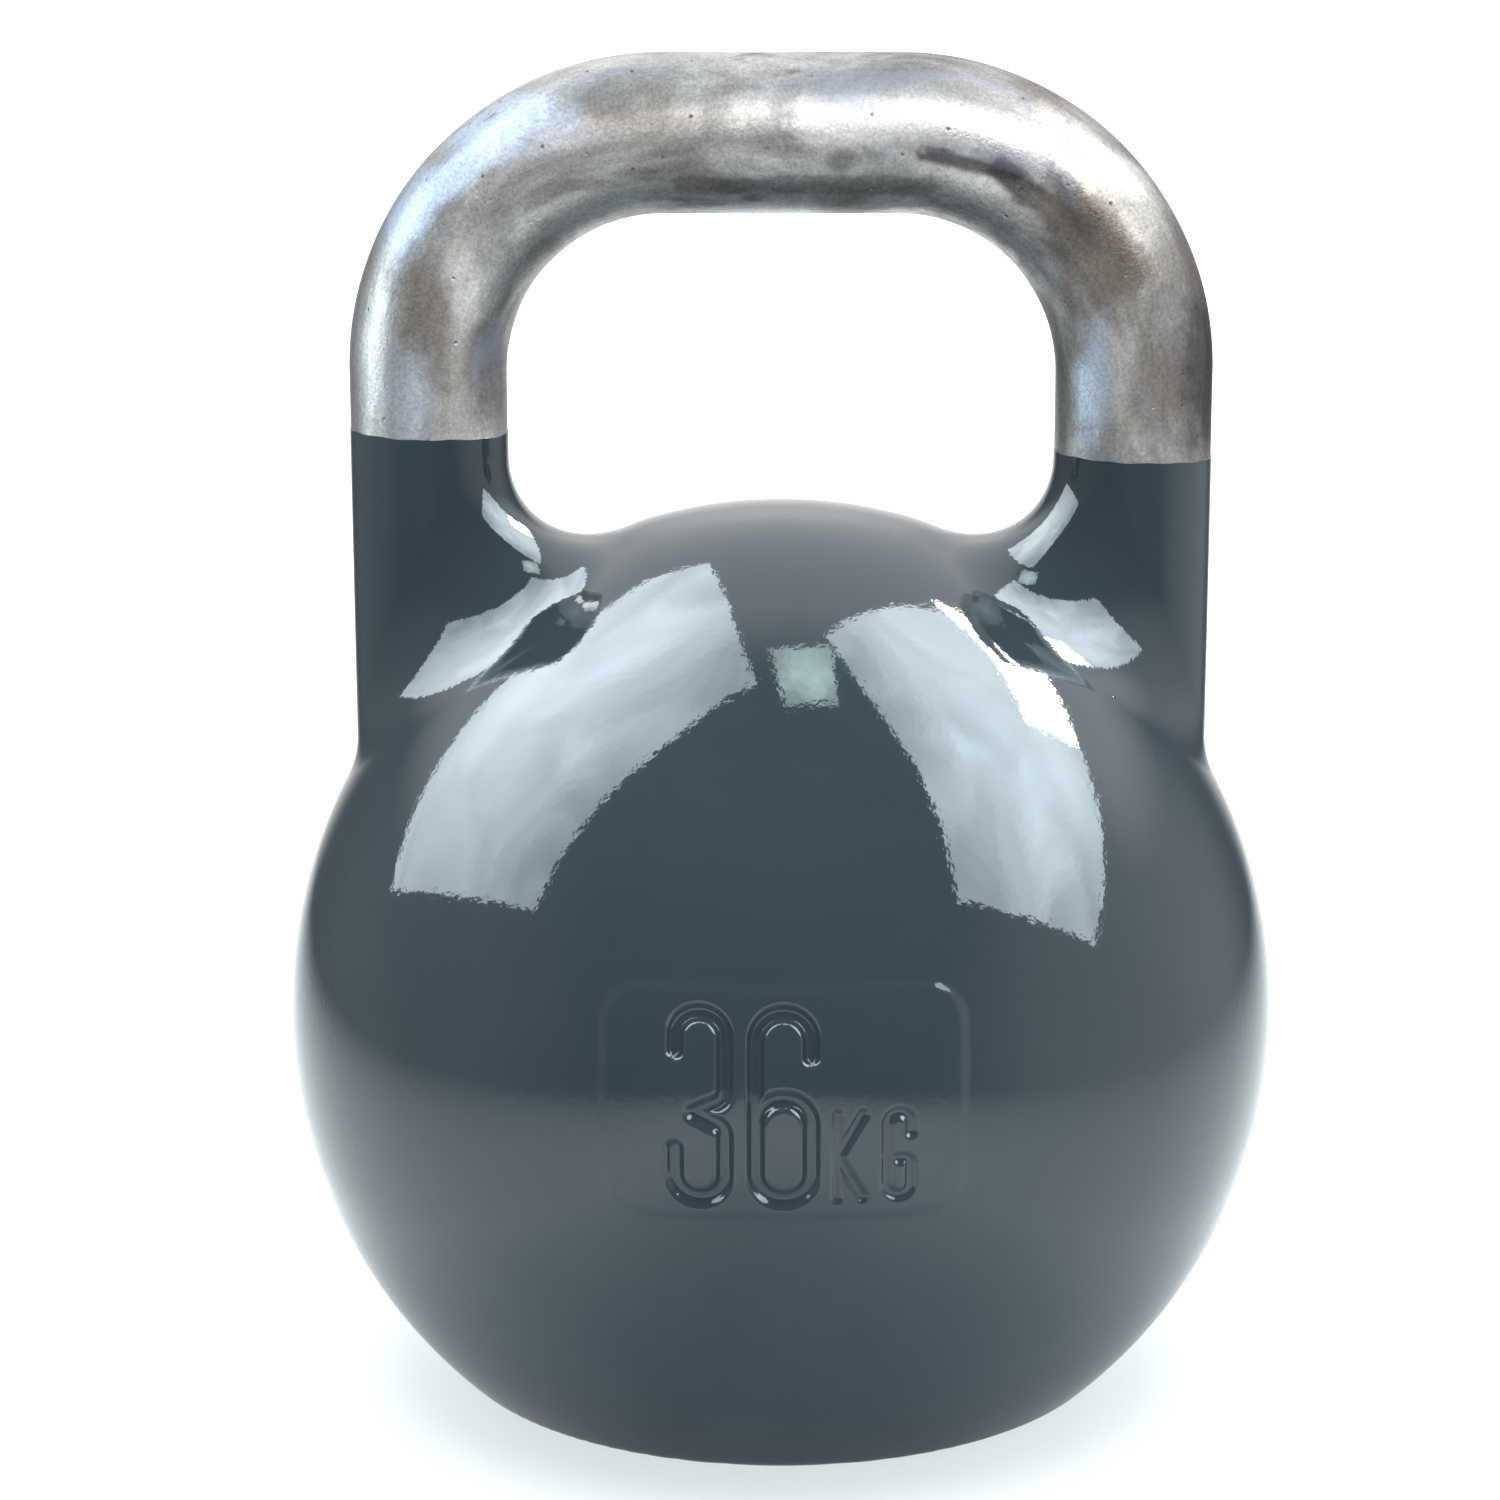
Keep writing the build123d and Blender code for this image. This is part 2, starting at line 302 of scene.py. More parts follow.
# patches of stains, painted highlights, painted reflections and painted shade: centre, size (mm), colour,
# strength
steelMarks = [
    ((53, -8, 273), (8, 14, 5.5), brown, 0.75),
    ((12, -15, 258), (3.5, 12, 3.0), dark, 0.5),
    ((24, -14, 268), (30, 12, 6.0), paleHighlight, 0.35),  # painted highlight on the grip's front top
    ((71, -14, 256), (13, 12, 4.5), paleHighlight, 0.5),
    ((-34, -13, 267), (20, 12, 5.0), brown, 0.30),
    ((-62, -10, 266), (20, 16, 6.5), skyReflection, 0.7),
    ((-77, -12, 250), (6.5, 16, 14), skyReflection, 0.7),
    ((-88, -8, 252), (5.5, 16, 22), brown, 0.35),
    ((-66, -15, 233), (6.0, 12, 12), paleHighlight, 0.55),
    ((-72, -15, 228), (6.5, 14, 16), brown, 0.80),
    # dark patches on the left leg's inner side: painted shade
    ((-57, -14, 226), (4.0, 12, 12), dark, 0.35),
    ((-58, -12, 243), (5.0, 14, 12), dark, 0.35),
    ((-61, -12, 216), (4.5, 14, 13), dark, 0.55),
    ((-76, -14, 212), (5.0, 14, 12), skyReflection, 0.5),
    ((64, -15, 238), (9, 14, 16), brown, 0.80),
    ((58, -13, 244), (6, 14, 8), dark, 0.45),
    # dark patch on the right leg's outer side: painted shade
    ((87, -8, 216), (8, 16, 18), dark, 0.85),
    ((64, -15, 214), (4.0, 12, 13), skyReflection, 0.65),
    ((76, -14, 212), (6.0, 12, 13), brown, 0.65),
    ((87, -12, 240), (5, 14, 12), brown, 0.6),
]


def makeGroundSteel(name, alongBar, level=1.0):
    # bare ground steel: cloudy tone, streaks along the bar, stripes and patches of stain with painted
    # highlights, painted reflections and painted shade, stains, pits and bright nicks
    material, tree, shader = newMaterial(name)
    place = addNode(tree, "ShaderNodeTexCoord").outputs["Object"]
    bar = place
    if alongBar:
        bar = addNode(tree, "ShaderNodeAttribute", attribute_name="barPlace").outputs["Vector"]

    def stretched(along):
        return vectorMaths(tree, "MULTIPLY", bar, (along, 1.0, 1.0))

    def cloud(along, scale, low, high):
        return useGroup(tree, mottleGroup, stretched(along), Scale=scale, Low=low, High=high)

    def blend(mask, below, above, amount, mode="MIX"):
        # above laid over below, by mask times amount, or by amount alone where there is no mask
        factor = amount if mask is None else maths(tree, "MULTIPLY", mask, amount)
        above = (*above, 1.0) if isinstance(above, tuple) else above
        values = {"Factor": factor, "A": below, "B": above}
        return addNode(tree, "ShaderNodeMix", values, data_type="RGBA", blend_type=mode).outputs["Result"]

    tone = cloud(*steel["tone"])
    lit = tuple(level * c for c in steel["bright"])
    shades = rampNode(tree, tone, [(0.0, steel["dark"]), (0.5, steel["middle"]), (1.0, lit)])
    smear = cloud(*steel["streaks"])
    streaks = rampNode(tree, smear, [(0.0, (0.88, 0.875, 0.87)), (1.0, (1.08, 1.08, 1.08))])
    sparkle = useGroup(tree, mottleGroup, place, Scale=steel["gritScale"], Low=0.35, High=0.65)
    grit = rampNode(tree, sparkle, [(0.0, (0.80, 0.80, 0.80)), (1.0, (1.22, 1.22, 1.21))])
    if alongBar:
        wobble = noiseNode(tree, place, steel["markWobble"], 5.0, 0.65)
        shift = vectorMaths(tree, "SUBTRACT", wobble["Color"], (0.5, 0.5, 0.5))

        def softMask(relative, uneven, outer, inner):
            # 1 where the offset, in half widths and pushed about by noise, is under inner, 0 past outer
            moved = vectorMaths(tree, "MULTIPLY_ADD", shift, (uneven,) * 3, relative)
            return rangeNode(tree, vectorMaths(tree, "LENGTH", moved), outer, inner)

        flat = vectorMaths(tree, "MULTIPLY", place, (1.0, steel["markDepth"], 1.0))
        # stripes of stain, painted highlight, painted reflection and painted shade laid over the tone
        for first, last, halfWidth, colour, strength in stainAndLightStripes:
            # offset from the nearest place on the run from first to last
            head, tail = (Vector((x, steel["markDepth"] * y, z)) * mm for x, y, z in (first, last))
            run = tail - head
            fromHead = vectorMaths(tree, "SUBTRACT", flat, head)
            along = vectorMaths(tree, "DOT_PRODUCT", fromHead, run / run.length_squared)
            held = addNode(tree, "ShaderNodeClamp", {"Value": along}).outputs["Result"]
            off = vectorMaths(tree, "SUBTRACT", fromHead, vectorMaths(tree, "MULTIPLY", run, held))
            relative = vectorMaths(tree, "MULTIPLY", off, (1.0 / (halfWidth * mm),) * 3)
            shades = blend(softMask(relative, 1.8, 1.4, 0.5), shades, colour, strength)
        # patches of stain, painted highlight, painted reflection and painted shade laid over the tone
        for centre, size, colour, strength in steelMarks:
            away = vectorMaths(tree, "SUBTRACT", place, [c * mm for c in centre])
            relative = vectorMaths(tree, "MULTIPLY", away, [1.0 / (c * mm) for c in size])
            shades = blend(softMask(relative, 1.5, 1.35, 0.40), shades, colour, strength)
    shades = blend(None, shades, streaks, 0.8, "MULTIPLY")
    shades = blend(None, shades, grit, 0.8, "MULTIPLY")
    shades = blend(cloud(*steel["blueing"]), shades, steel["blue"], 0.6)
    shades = blend(cloud(*steel["stains"]), shades, steel["stain"], 0.55)
    pits = useGroup(tree, pitGroup, place, **steel["pits"])
    shades = blend(pits, shades, steel["stain"], 0.85)
    nicks = useGroup(tree, pitGroup, stretched(0.5), **steel["nicks"])
    shades = blend(nicks, shades, steel["nick"], 0.8)
    link(tree, shades, shader.inputs["Base Color"])
    shader.inputs["Metallic"].default_value = 1.0
    rough = rangeNode(tree, tone, 0.0, 1.0, steel["roughHigh"], steel["roughLow"], "LINEAR")
    link(tree, rough, shader.inputs["Roughness"])
    grain = noiseNode(tree, place, steel["grainScale"], 3.0, 0.7)
    grainBump = bumpNode(tree, grain["Fac"], steel["grainHeight"])
    pitBump = bumpNode(tree, pits, steel["pitDepth"], below=grainBump, invert=True)
    link(tree, pitBump, shader.inputs["Normal"])
    return material


def makeDullMetal(name, low, high, roughness, metallic, scale):
    # cast, oxide-blackened or rubbery surface with a cloudy tone and a fine skin
    material, tree, shader = newMaterial(name)
    place = addNode(tree, "ShaderNodeTexCoord").outputs["Object"]
    cloud = useGroup(tree, mottleGroup, place, Scale=scale, Low=0.3, High=0.7)
    link(tree, rampNode(tree, cloud, [(0.0, low), (1.0, high)]), shader.inputs["Base Color"])
    shader.inputs["Roughness"].default_value = roughness
    shader.inputs["Metallic"].default_value = metallic
    peel = useGroup(tree, peelGroup, place, Scale=900.0)
    link(tree, bumpNode(tree, peel, 0.0001, 0.6), shader.inputs["Normal"])
    return material


enamelMaterial = makeEnamel()
steelMaterial = makeGroundSteel("groundSteel", True)
weldMaterial = makeGroundSteel("groundWeld", True, 1.15)
print("stage: materials ready")


# ball and horns
bellLow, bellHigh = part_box("bell_body")
barLow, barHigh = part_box("handle_bar")
ball = dict(
    radius=(bellHigh.x - bellLow.x) / 2,
    baseCircle=69.75 * mm,
    baseEdge=6.0 * mm,
    ridge=3.3 * mm,  # the ball's top stands this much higher between the horns
    ridgeHalfWidth=(52.0 * mm, 24.0 * mm),  # across, in the middle and beside the horns
    ridgeSpread=(8.0 * mm, 42.0 * mm),  # where along X the width changes from one to the other
    ridgeEnd=(27.0 * mm, 60.0 * mm),
    ridgeFoot=(0.4, 0.8),  # heights, as shares of the radius, where it starts and where it is full
    columns=300,
    rows=92,
)
horn = dict(
    x=73.5 * mm,
    radius=16.5 * mm,
    fillet=19.0 * mm,  # radius where the horn meets the ball in the window's plane
    saddle=6.0 * mm,  # the radius grows by this much towards the front and the back
    inner=12.0 * mm,  # and by this much towards the other horn
    limitPower=6.0,
    filletTop=118.3 * mm,  # highest edge of the fillet above the ball's middle
    paintLine=199.8 * mm,
    paintTilt=math.radians(1.87),
    lip=0.14 * mm,  # the paint's edge stands this far off the steel
    lipRows=((4.4, 0.0), (0.8, 0.0), (0.35, 0.04), (0.0, 0.30)),  # inset and drop, in lips
    paintWaves=((0.10 * mm, 5.0, 1.0, 0.0), (0.08 * mm, 13.0, 0.0, 2.0)),
    rows=10,
    filletRows=26,
)
ballZ = math.sqrt(ball["radius"] ** 2 - ball["baseCircle"] ** 2)
hornFoot = math.sqrt(ball["radius"] ** 2 - horn["x"] ** 2)  # height of the horn's axis on the ball
columns, ballRows = ball["columns"], ball["rows"]


def filletRadius(psi):
    # wanted: smallest in the window's plane, largest at the front and the back of the horn
    outer, cosine = ball["radius"], np.cos(psi)
    wanted = horn["fillet"] + horn["saddle"] * np.sin(psi) ** 2 + horn["inner"] * (1.0 - cosine) / 2
    # most: the radius whose upper edge would reach horn["filletTop"]; the result is their power mean
    level = outer**2 - horn["x"] ** 2 - horn["radius"] ** 2 - 2 * horn["x"] * horn["radius"] * cosine
    most = (horn["filletTop"] ** 2 - level) / (2 * (outer - horn["radius"] - horn["x"] * cosine))
    power = horn["limitPower"]
    return (wanted**-power + most**-power) ** (-1.0 / power)


def filletLine(psi):
    # where a ball of the fillet's radius touches the horn (first) and the big ball (second), and its centre
    fillet = filletRadius(psi)
    reach = horn["radius"] + fillet
    cx = horn["x"] + reach * np.cos(psi)
    cy = reach * np.sin(psi)
    cz = np.sqrt((ball["radius"] + fillet) ** 2 - cx**2 - cy**2)
    centre = np.stack([cx, cy, cz], axis=-1)
    onHorn = np.stack([horn["x"] + horn["radius"] * np.cos(psi), horn["radius"] * np.sin(psi), cz], axis=-1)
    onBall = centre * (ball["radius"] / (ball["radius"] + fillet))[..., None]
    return onHorn, onBall, centre


def psiOf(gamma):
    # bearing round the horn for a place on the ball's middle circle, both in one plane through the horn feet
    psi = np.linspace(0.0, 2 * math.pi, 6001)
    onBall = filletLine(psi)[1]
    bearing = np.unwrap(np.arctan2(onBall[:, 1], onBall[:, 2] - hornFoot))
    y, z = ball["radius"] * np.sin(gamma), ball["radius"] * np.cos(gamma)
    wanted = np.arctan2(y, z - hornFoot)
    turn = bearing - bearing[0]
    gap = (wanted - bearing[0]) * np.sign(turn[-1])
    return np.interp(np.mod(gap, 2 * math.pi), np.abs(turn), psi)


def sphereArc(gamma, v):
    # v runs from 1 at the right horn's fillet through 0 on the middle circle to -1 at the left one's,
    # along the circle that a plane through both horn feet cuts from the ball
    onBall = filletLine(psiOf(gamma))[1]
    y, z = ball["radius"] * np.sin(gamma), ball["radius"] * np.cos(gamma)
    dy, dz = y, z - hornFoot
    size = np.hypot(dy, dz)
    dy, dz = dy / size, dz / size
    middle = -hornFoot * dz
    rho = np.sqrt(horn["x"] ** 2 + middle**2)
    startQ = onBall[..., 1] * dy + (onBall[..., 2] - hornFoot) * dz
    startAngle = np.arctan2(startQ - middle, onBall[..., 0])
    angle = math.pi / 2 + (startAngle - math.pi / 2) * v
    q = middle + rho * np.sin(angle)
    return np.stack([rho * np.cos(angle), q * dy, hornFoot + q * dz], axis=-1)


def shapeBase(points):
    # sphere points near the bottom move in, towards the ball's centre, to the flat base and its rounded edge
    direction = unit(points)
    normals = direction.copy()
    edge = ball["baseEdge"]
    edgeZ = -ballZ + edge
    edgeR = math.sqrt((ball["radius"] - edge) ** 2 - edgeZ**2)
    flatFrom = math.atan2(edgeR, ballZ)
    ballFrom = math.atan2(edgeR, -edgeZ)
    level = np.hypot(direction[..., 0], direction[..., 1])
    alpha = np.arctan2(level, -direction[..., 2])
    along = level * edgeR + direction[..., 2] * edgeZ
    reach = along + np.sqrt(np.maximum(along**2 - edgeR**2 - edgeZ**2 + edge**2, 0.0))
    onEdge = (alpha > flatFrom) & (alpha < ballFrom)
    onFlat = alpha <= flatFrom
    moved = np.where(onEdge[..., None], direction * reach[..., None], points)
    flat = direction * (ballZ / np.maximum(-direction[..., 2], 1e-6))[..., None]
    moved = np.where(onFlat[..., None], flat, moved)
    safe = np.maximum(level, 1e-9)
    outX, outY = direction[..., 0] / safe * edgeR, direction[..., 1] / safe * edgeR
    ring = np.stack([outX, outY, np.full_like(level, edgeZ)], axis=-1)
    normals = np.where(onEdge[..., None], unit(moved - ring), normals)
    normals = np.where(onFlat[..., None], np.array([0.0, 0.0, -1.0]), normals)
    return moved, normals, onEdge | onFlat


def raiseRidge(points):
    # height added = ridge times a bell curve across, fading out towards each horn
    wide, narrow = ball["ridgeHalfWidth"]
    halfWidth = wide + (narrow - wide) * smooth(*ball["ridgeSpread"], np.abs(points[..., 0]))
    across = np.exp(-((points[..., 1] / halfWidth) ** 2))
    ends = 1.0 - smooth(*ball["ridgeEnd"], np.abs(points[..., 0]))
    top = smooth(*ball["ridgeFoot"], points[..., 2] / ball["radius"])
    lifted = points.copy()
    lifted[..., 2] += ball["ridge"] * across * ends * top
    return lifted


def hornSide(gamma, side):
    # rows of one horn: from the paint's edge straight down, then along the fillet's arc to the ball
    psi = psiOf(gamma)
    onHorn, onBall, centre = filletLine(psi)
    lineZ = horn["paintLine"] - ballZ - side * math.tan(horn["paintTilt"]) * onHorn[..., 0]
    for height, count, bySide, start in horn["paintWaves"]:
        lineZ = lineZ + height * np.sin(count * psi + bySide * side + start)
    rows = []
    for inset, drop in horn["lipRows"]:
        radius = horn["radius"] - inset * horn["lip"]
        outX, outY = horn["x"] + radius * np.cos(psi), radius * np.sin(psi)
        rows.append(np.stack([outX, outY, lineZ - drop * horn["lip"]], axis=-1))
    top = rows[-1]
    foot = onHorn.copy()
    foot[..., 2] = np.minimum(foot[..., 2], top[..., 2] - 0.2 * mm)
    for step in np.linspace(0.0, 1.0, horn["rows"] + 1)[1:]:
        rows.append(top + (foot - top) * step)
    first, last = unit(onHorn - centre), unit(onBall - centre)
    opening = np.arccos(np.clip(np.sum(first * last, axis=-1), -1.0, 1.0))[..., None]
    for step in np.linspace(0.0, 1.0, horn["filletRows"] + 1)[1:-1]:
        arc = (np.sin((1 - step) * opening) * first + np.sin(step * opening) * last) / np.sin(opening)
        rows.append(centre + filletRadius(psi)[..., None] * arc)
    rows = np.stack(rows)
    rows[..., 0] *= side
    return rows


def bellGrid():
    # columns go round the X axis; rows go from the right horn's top over the ball to the left horn's top
    gamma = np.linspace(0.0, 2 * math.pi, columns, endpoint=False)
    v = np.linspace(1.0, -1.0, 2 * ballRows + 1)
    middle = sphereArc(gamma[None, :], v[:, None])
    right = hornSide(gamma, 1)
    left = hornSide(gamma, -1)[::-1]
    points = np.concatenate([right, middle, left])
    points = raiseRidge(points)
    normals = gridNormals(points, True)
    moved, baseNormals, changed = shapeBase(points)
    points = np.where(changed[..., None], moved, points)
    normals = np.where(changed[..., None], baseNormals, normals)
    return points, normals, len(right)


bellPoints, bellNormals, rowOffset = bellGrid()
print("stage: bell grid")

# blocks of the grid that are left out, for the weight mark and for the base with its port
block = dict(markMiddle=8.0 * mm, markUp=29.0 * mm, markAcross=43.0 * mm, base=42.0 * mm)
middle = bellPoints[rowOffset + ballRows]
inMark = (np.abs(middle[:, 2] - block["markMiddle"]) < block["markUp"]) & (middle[:, 1] < 0)
frontColumns = np.where(inMark)[0]
frontRows = np.where(np.abs(bellPoints[:, int(frontColumns.mean()), 0]) < block["markAcross"])[0]
baseColumns = np.where((middle[:, 2] < 0) & (np.abs(middle[:, 1]) < block["base"]))[0]
baseRows = np.where(np.abs(bellPoints[:, columns // 2, 0]) < block["base"])[0]
keep = np.ones((len(bellPoints) - 1, columns), bool)
keep[frontRows[0]:frontRows[-1], frontColumns[0]:frontColumns[-1]] = False
keep[baseRows[0]:baseRows[-1], baseColumns[0]:baseColumns[-1]] = False
lift = np.array([0.0, 0.0, ballZ])
makePiece(
    "bell_surface",
    (bellPoints + lift).reshape(-1, 3),
    bellNormals.reshape(-1, 3),
    gridQuads(len(bellPoints), columns, True, keep),
    enamelMaterial,
    ["bell_body"],
)
print("stage: ball and horns", len(bellPoints), columns)


# weight mark
mark = dict(
    left=-34.0 * mm,
    right=35.0 * mm,
    foot=-13.0 * mm,
    head=31.0 * mm,
    corner=8.0 * mm,
    rise=0.40 * mm,
    edge=1.3 * mm,  # half width of the plaque's soft edge
    figureFoot=-9.2 * mm,
    figureHead=26.4 * mm,
    figureHalf=2.3 * mm,
    figureFloor=0.5 * mm,
    figureDepth=1.4 * mm,
    unitFoot=-9.0 * mm,
    unitHead=7.3 * mm,
    unitHalf=1.55 * mm,
    unitFloor=0.3 * mm,
    unitDepth=0.72 * mm,
    three=(-20.2 * mm, -10.7 * mm),
    six=(-4.8 * mm, 5.8 * mm),
    letterK=(10.6 * mm, 15.4 * mm),
    letterG=(20.1 * mm, 24.6 * mm),
    bend=0.48,  # corner radius as a share of a figure's width
    finer=7,  # cells of the mark for each cell of the ball, each way
)


def strokeDistance(x, z, corners, bends):
    # distance to a line whose corners are rounded: straight runs between the bends, and an arc in each bend
    corners = [np.array(c) for c in corners]
    starts, ends, arcs = [corners[0]], [], []
    for before, corner, after, bend in zip(corners, corners[1:], corners[2:], bends):
        inward = (before - corner) / np.linalg.norm(before - corner)
        outward = (after - corner) / np.linalg.norm(after - corner)
        half = 0.5 * math.acos(float(np.clip(inward @ outward, -1, 1)))
        ends.append(corner + inward * bend / math.tan(half))
        starts.append(corner + outward * bend / math.tan(half))
        middle = (inward + outward) / np.linalg.norm(inward + outward)
        arcs.append((corner + middle * bend / math.sin(half), bend, -middle, math.pi / 2 - half))
    ends.append(corners[-1])
    nearest = np.full_like(x, 1.0)
    for a, b in zip(starts, ends):
        run = b - a
        t = np.clip(((x - a[0]) * run[0] + (z - a[1]) * run[1]) / (run @ run), 0.0, 1.0)
        nearest = np.minimum(nearest, np.hypot(x - a[0] - t * run[0], z - a[1] - t * run[1]))
    for centre, radius, towards, spread in arcs:
        dx, dz = x - centre[0], z - centre[1]
        size = np.hypot(dx, dz) + 1e-12
        inside = (dx * towards[0] + dz * towards[1]) / size >= math.cos(spread) - 1e-6
        nearest = np.where(inside, np.minimum(nearest, np.abs(size - radius)), nearest)
    return nearest


def threeDistance(x, z, left, right, foot, head):
    # two open bowls that meet at a short bar in the middle
    height, width = head - foot, right - left
    bend = mark["bend"] * width
    waist, barEnd = foot + 0.47 * height, left + 0.40 * width
    point = (barEnd, waist)
    notch = 0.075 * height
    startZ, endZ = head - bend - 0.07 * height, foot + bend + 0.14 * height
    upper = [(left, startZ), (left, head), (right, head), (right, waist + notch), point]
    lower = [point, (right, waist - notch), (right, foot), (left, foot), (left, endZ)]
    return np.minimum(
        strokeDistance(x, z, upper, [bend, bend, 0.3 * width]),
        strokeDistance(x, z, lower, [0.3 * width, bend, bend]),
    )


def sixDistance(x, z, left, right, foot, head):
    # a tall open loop with a closed bowl in its lower part
    height, width = head - foot, right - left
    bend = mark["bend"] * width
    bowl = foot + 0.55 * height
    side = bowl - 1.2 * bend
    start = (right, head - bend - 0.08 * height)
    body = [start, (right, head), (left, head), (left, foot), (right, foot), (right, side)]
    cap = [(right, side), (right, bowl), (left, bowl), (left, side)]
    return np.minimum(strokeDistance(x, z, body, [bend] * 4), strokeDistance(x, z, cap, [bend] * 2))


def kDistance(x, z, left, right, foot, head):
    # an upright and two slanting arms from its middle
    middle = (foot + head) / 2
    lines = [[(left, foot), (left, head)], [(left, middle), (right, head)], [(left, middle), (right, foot)]]
    return np.minimum.reduce([strokeDistance(x, z, line, []) for line in lines])


def gDistance(x, z, left, right, foot, head):
    # an open loop that turns in to a short bar
    height, width = head - foot, right - left
    bend = mark["bend"] * width
    bar = foot + 0.45 * height
    loop = [(right, head), (left, head), (left, foot), (right, foot), (right, bar)]
    line = [(right, head - bend - 0.1 * height), *loop, ((left + right) / 2, bar)]
    return strokeDistance(x, z, line, [bend] * 4 + [0.27 * width])


def markHeight(x, z):
    # soft-edged plaque, less rounded grooves for the figures and the unit
    cx, cz = (mark["left"] + mark["right"]) / 2, (mark["foot"] + mark["head"]) / 2
    dx = np.abs(x - cx) - (mark["right"] - mark["left"]) / 2 + mark["corner"]
    dz = np.abs(z - cz) - (mark["head"] - mark["foot"]) / 2 + mark["corner"]
    outside = np.hypot(np.maximum(dx, 0), np.maximum(dz, 0)) + np.minimum(np.maximum(dx, dz), 0)
    outside = outside - mark["corner"]
    height = mark["rise"] * (1.0 - smooth(-mark["edge"], mark["edge"], outside))
    figureZ, unitZ = (mark["figureFoot"], mark["figureHead"]), (mark["unitFoot"], mark["unitHead"])
    three, six = threeDistance(x, z, *mark["three"], *figureZ), sixDistance(x, z, *mark["six"], *figureZ)
    figures = np.minimum(three, six)
    letters = np.minimum(kDistance(x, z, *mark["letterK"], *unitZ), gDistance(x, z, *mark["letterG"], *unitZ))
    height = height - mark["figureDepth"] * (1.0 - smooth(mark["figureFloor"], mark["figureHalf"], figures))
    return height - mark["unitDepth"] * (1.0 - smooth(mark["unitFloor"], mark["unitHalf"], letters))


def markGrid():
    # the ball's own grid, divided more finely, moved along the ball's radius by markHeight
    finer = mark["finer"]
    rowCount = (frontRows[-1] - frontRows[0]) * finer + 1
    columnCount = (frontColumns[-1] - frontColumns[0]) * finer + 1
    row = frontRows[0] - rowOffset + np.arange(rowCount) / finer
    column = frontColumns[0] + np.arange(columnCount) / finer
    points = sphereArc((column / columns * 2 * math.pi)[None, :], (1.0 - row / ballRows)[:, None])
    outwards = unit(points)
    height = markHeight(points[..., 0], points[..., 2])
    points = points + outwards * height[..., None]
    normals = gridNormals(points, False)
    if np.sum(normals[0, 0] * outwards[0, 0]) < 0:
        normals = -normals
    # the border lies on the big grid's straight edges and keeps the ball's own normal
    coarse = bellPoints[frontRows[0]:frontRows[-1] + 1, frontColumns[0]:frontColumns[-1] + 1]
    acrossPlaces, downPlaces = np.arange(columnCount), np.arange(rowCount)
    for edge in (0, -1):
        for axis in range(3):
            points[edge, :, axis] = np.interp(acrossPlaces, acrossPlaces[::finer], coarse[edge, :, axis])
            points[:, edge, axis] = np.interp(downPlaces, downPlaces[::finer], coarse[:, edge, axis])
        normals[edge, :] = outwards[edge, :]
        normals[:, edge] = outwards[:, edge]
    return points, normals


markPoints, markNormals = markGrid()
makePiece(
    "weight_mark",
    (markPoints + lift).reshape(-1, 3),
    markNormals.reshape(-1, 3),
    gridQuads(*markPoints.shape[:2], False),
    enamelMaterial,
    ["bell_body"],
)
print("stage: weight mark", markPoints.shape)


# port in the base
port = dict(
    columns=480,
    mouth=36.1 * mm,
    wall=35.1 * mm,
    seatHeight=8.0 * mm,
    seatRadius=30.48 * mm,
    bore=27.1 * mm,
    screwRadius=3.05 * mm,
    screwPlace=35.0 * mm,
    depth=20.0 * mm,
    edge=0.05 * mm,
)


def portGrid():
    # rings of points from the block's border in to the port's mouth, then up its pocket and bore
    loop = np.concatenate([
        bellPoints[baseRows[0], baseColumns[0]:baseColumns[-1] + 1],
        bellPoints[baseRows[0]:baseRows[-1] + 1, baseColumns[-1]][1:],
        bellPoints[baseRows[-1], baseColumns[0]:baseColumns[-1] + 1][::-1][1:],
        bellPoints[baseRows[0]:baseRows[-1] + 1, baseColumns[0]][::-1][1:-1],
    ])
    turn = np.linspace(0.0, 2 * math.pi, port["columns"], endpoint=False)
    loopTurn = np.mod(np.arctan2(loop[:, 1], loop[:, 0]), 2 * math.pi)
    order = np.argsort(loopTurn)
    border = np.interp(turn, loopTurn[order], np.hypot(loop[order, 0], loop[order, 1]), period=2 * math.pi)
    # the lock screw's half hole bulges the pocket's wall outwards
    off = np.arctan2(np.sin(turn - math.pi / 2), np.cos(turn - math.pi / 2))
    under = port["screwRadius"] ** 2 - (port["screwPlace"] * np.sin(off)) ** 2
    reach = port["screwPlace"] * np.cos(off) + np.sqrt(np.maximum(under, 0))
    bulge = np.where((under > 0) & (np.abs(off) < 1), reach, 0.0)
    wall = np.maximum(port["wall"], bulge)
    mouth = np.maximum(port["mouth"], bulge)
    base = np.zeros_like(turn)
    rings = [(border, base)]
    for step in (0.3, 0.6, 0.9, 0.985):
        rings.append((border + (mouth - border) * step, base))
    rings += [
        (mouth, base),
        (mouth, base + 0.03 * mm),
        (wall + 0.03 * mm, base + 0.95 * mm),
        (wall, base + 1.05 * mm),
        (wall, base + port["seatHeight"] - port["edge"]),
        (wall - port["edge"], base + port["seatHeight"]),
        (base + port["seatRadius"], base + port["seatHeight"]),
        (base + port["bore"], base + port["seatHeight"] + port["seatRadius"] - port["bore"]),
        (base + port["bore"], base + port["depth"]),
    ]
    return np.stack([np.stack([r * np.cos(turn), r * np.sin(turn), z], axis=-1) for r, z in rings])


portPoints = portGrid()
portNormals = gridNormals(portPoints, True)
if portNormals[1, 0, 2] > 0:
    portNormals = -portNormals
portNormals[:5] = (0.0, 0.0, -1.0)
makePiece(
    "base_port",
    portPoints.reshape(-1, 3),
    portNormals.reshape(-1, 3),
    gridQuads(*portPoints.shape[:2], True),
    enamelMaterial,
    ["bell_body"],
)
print("stage: base port")


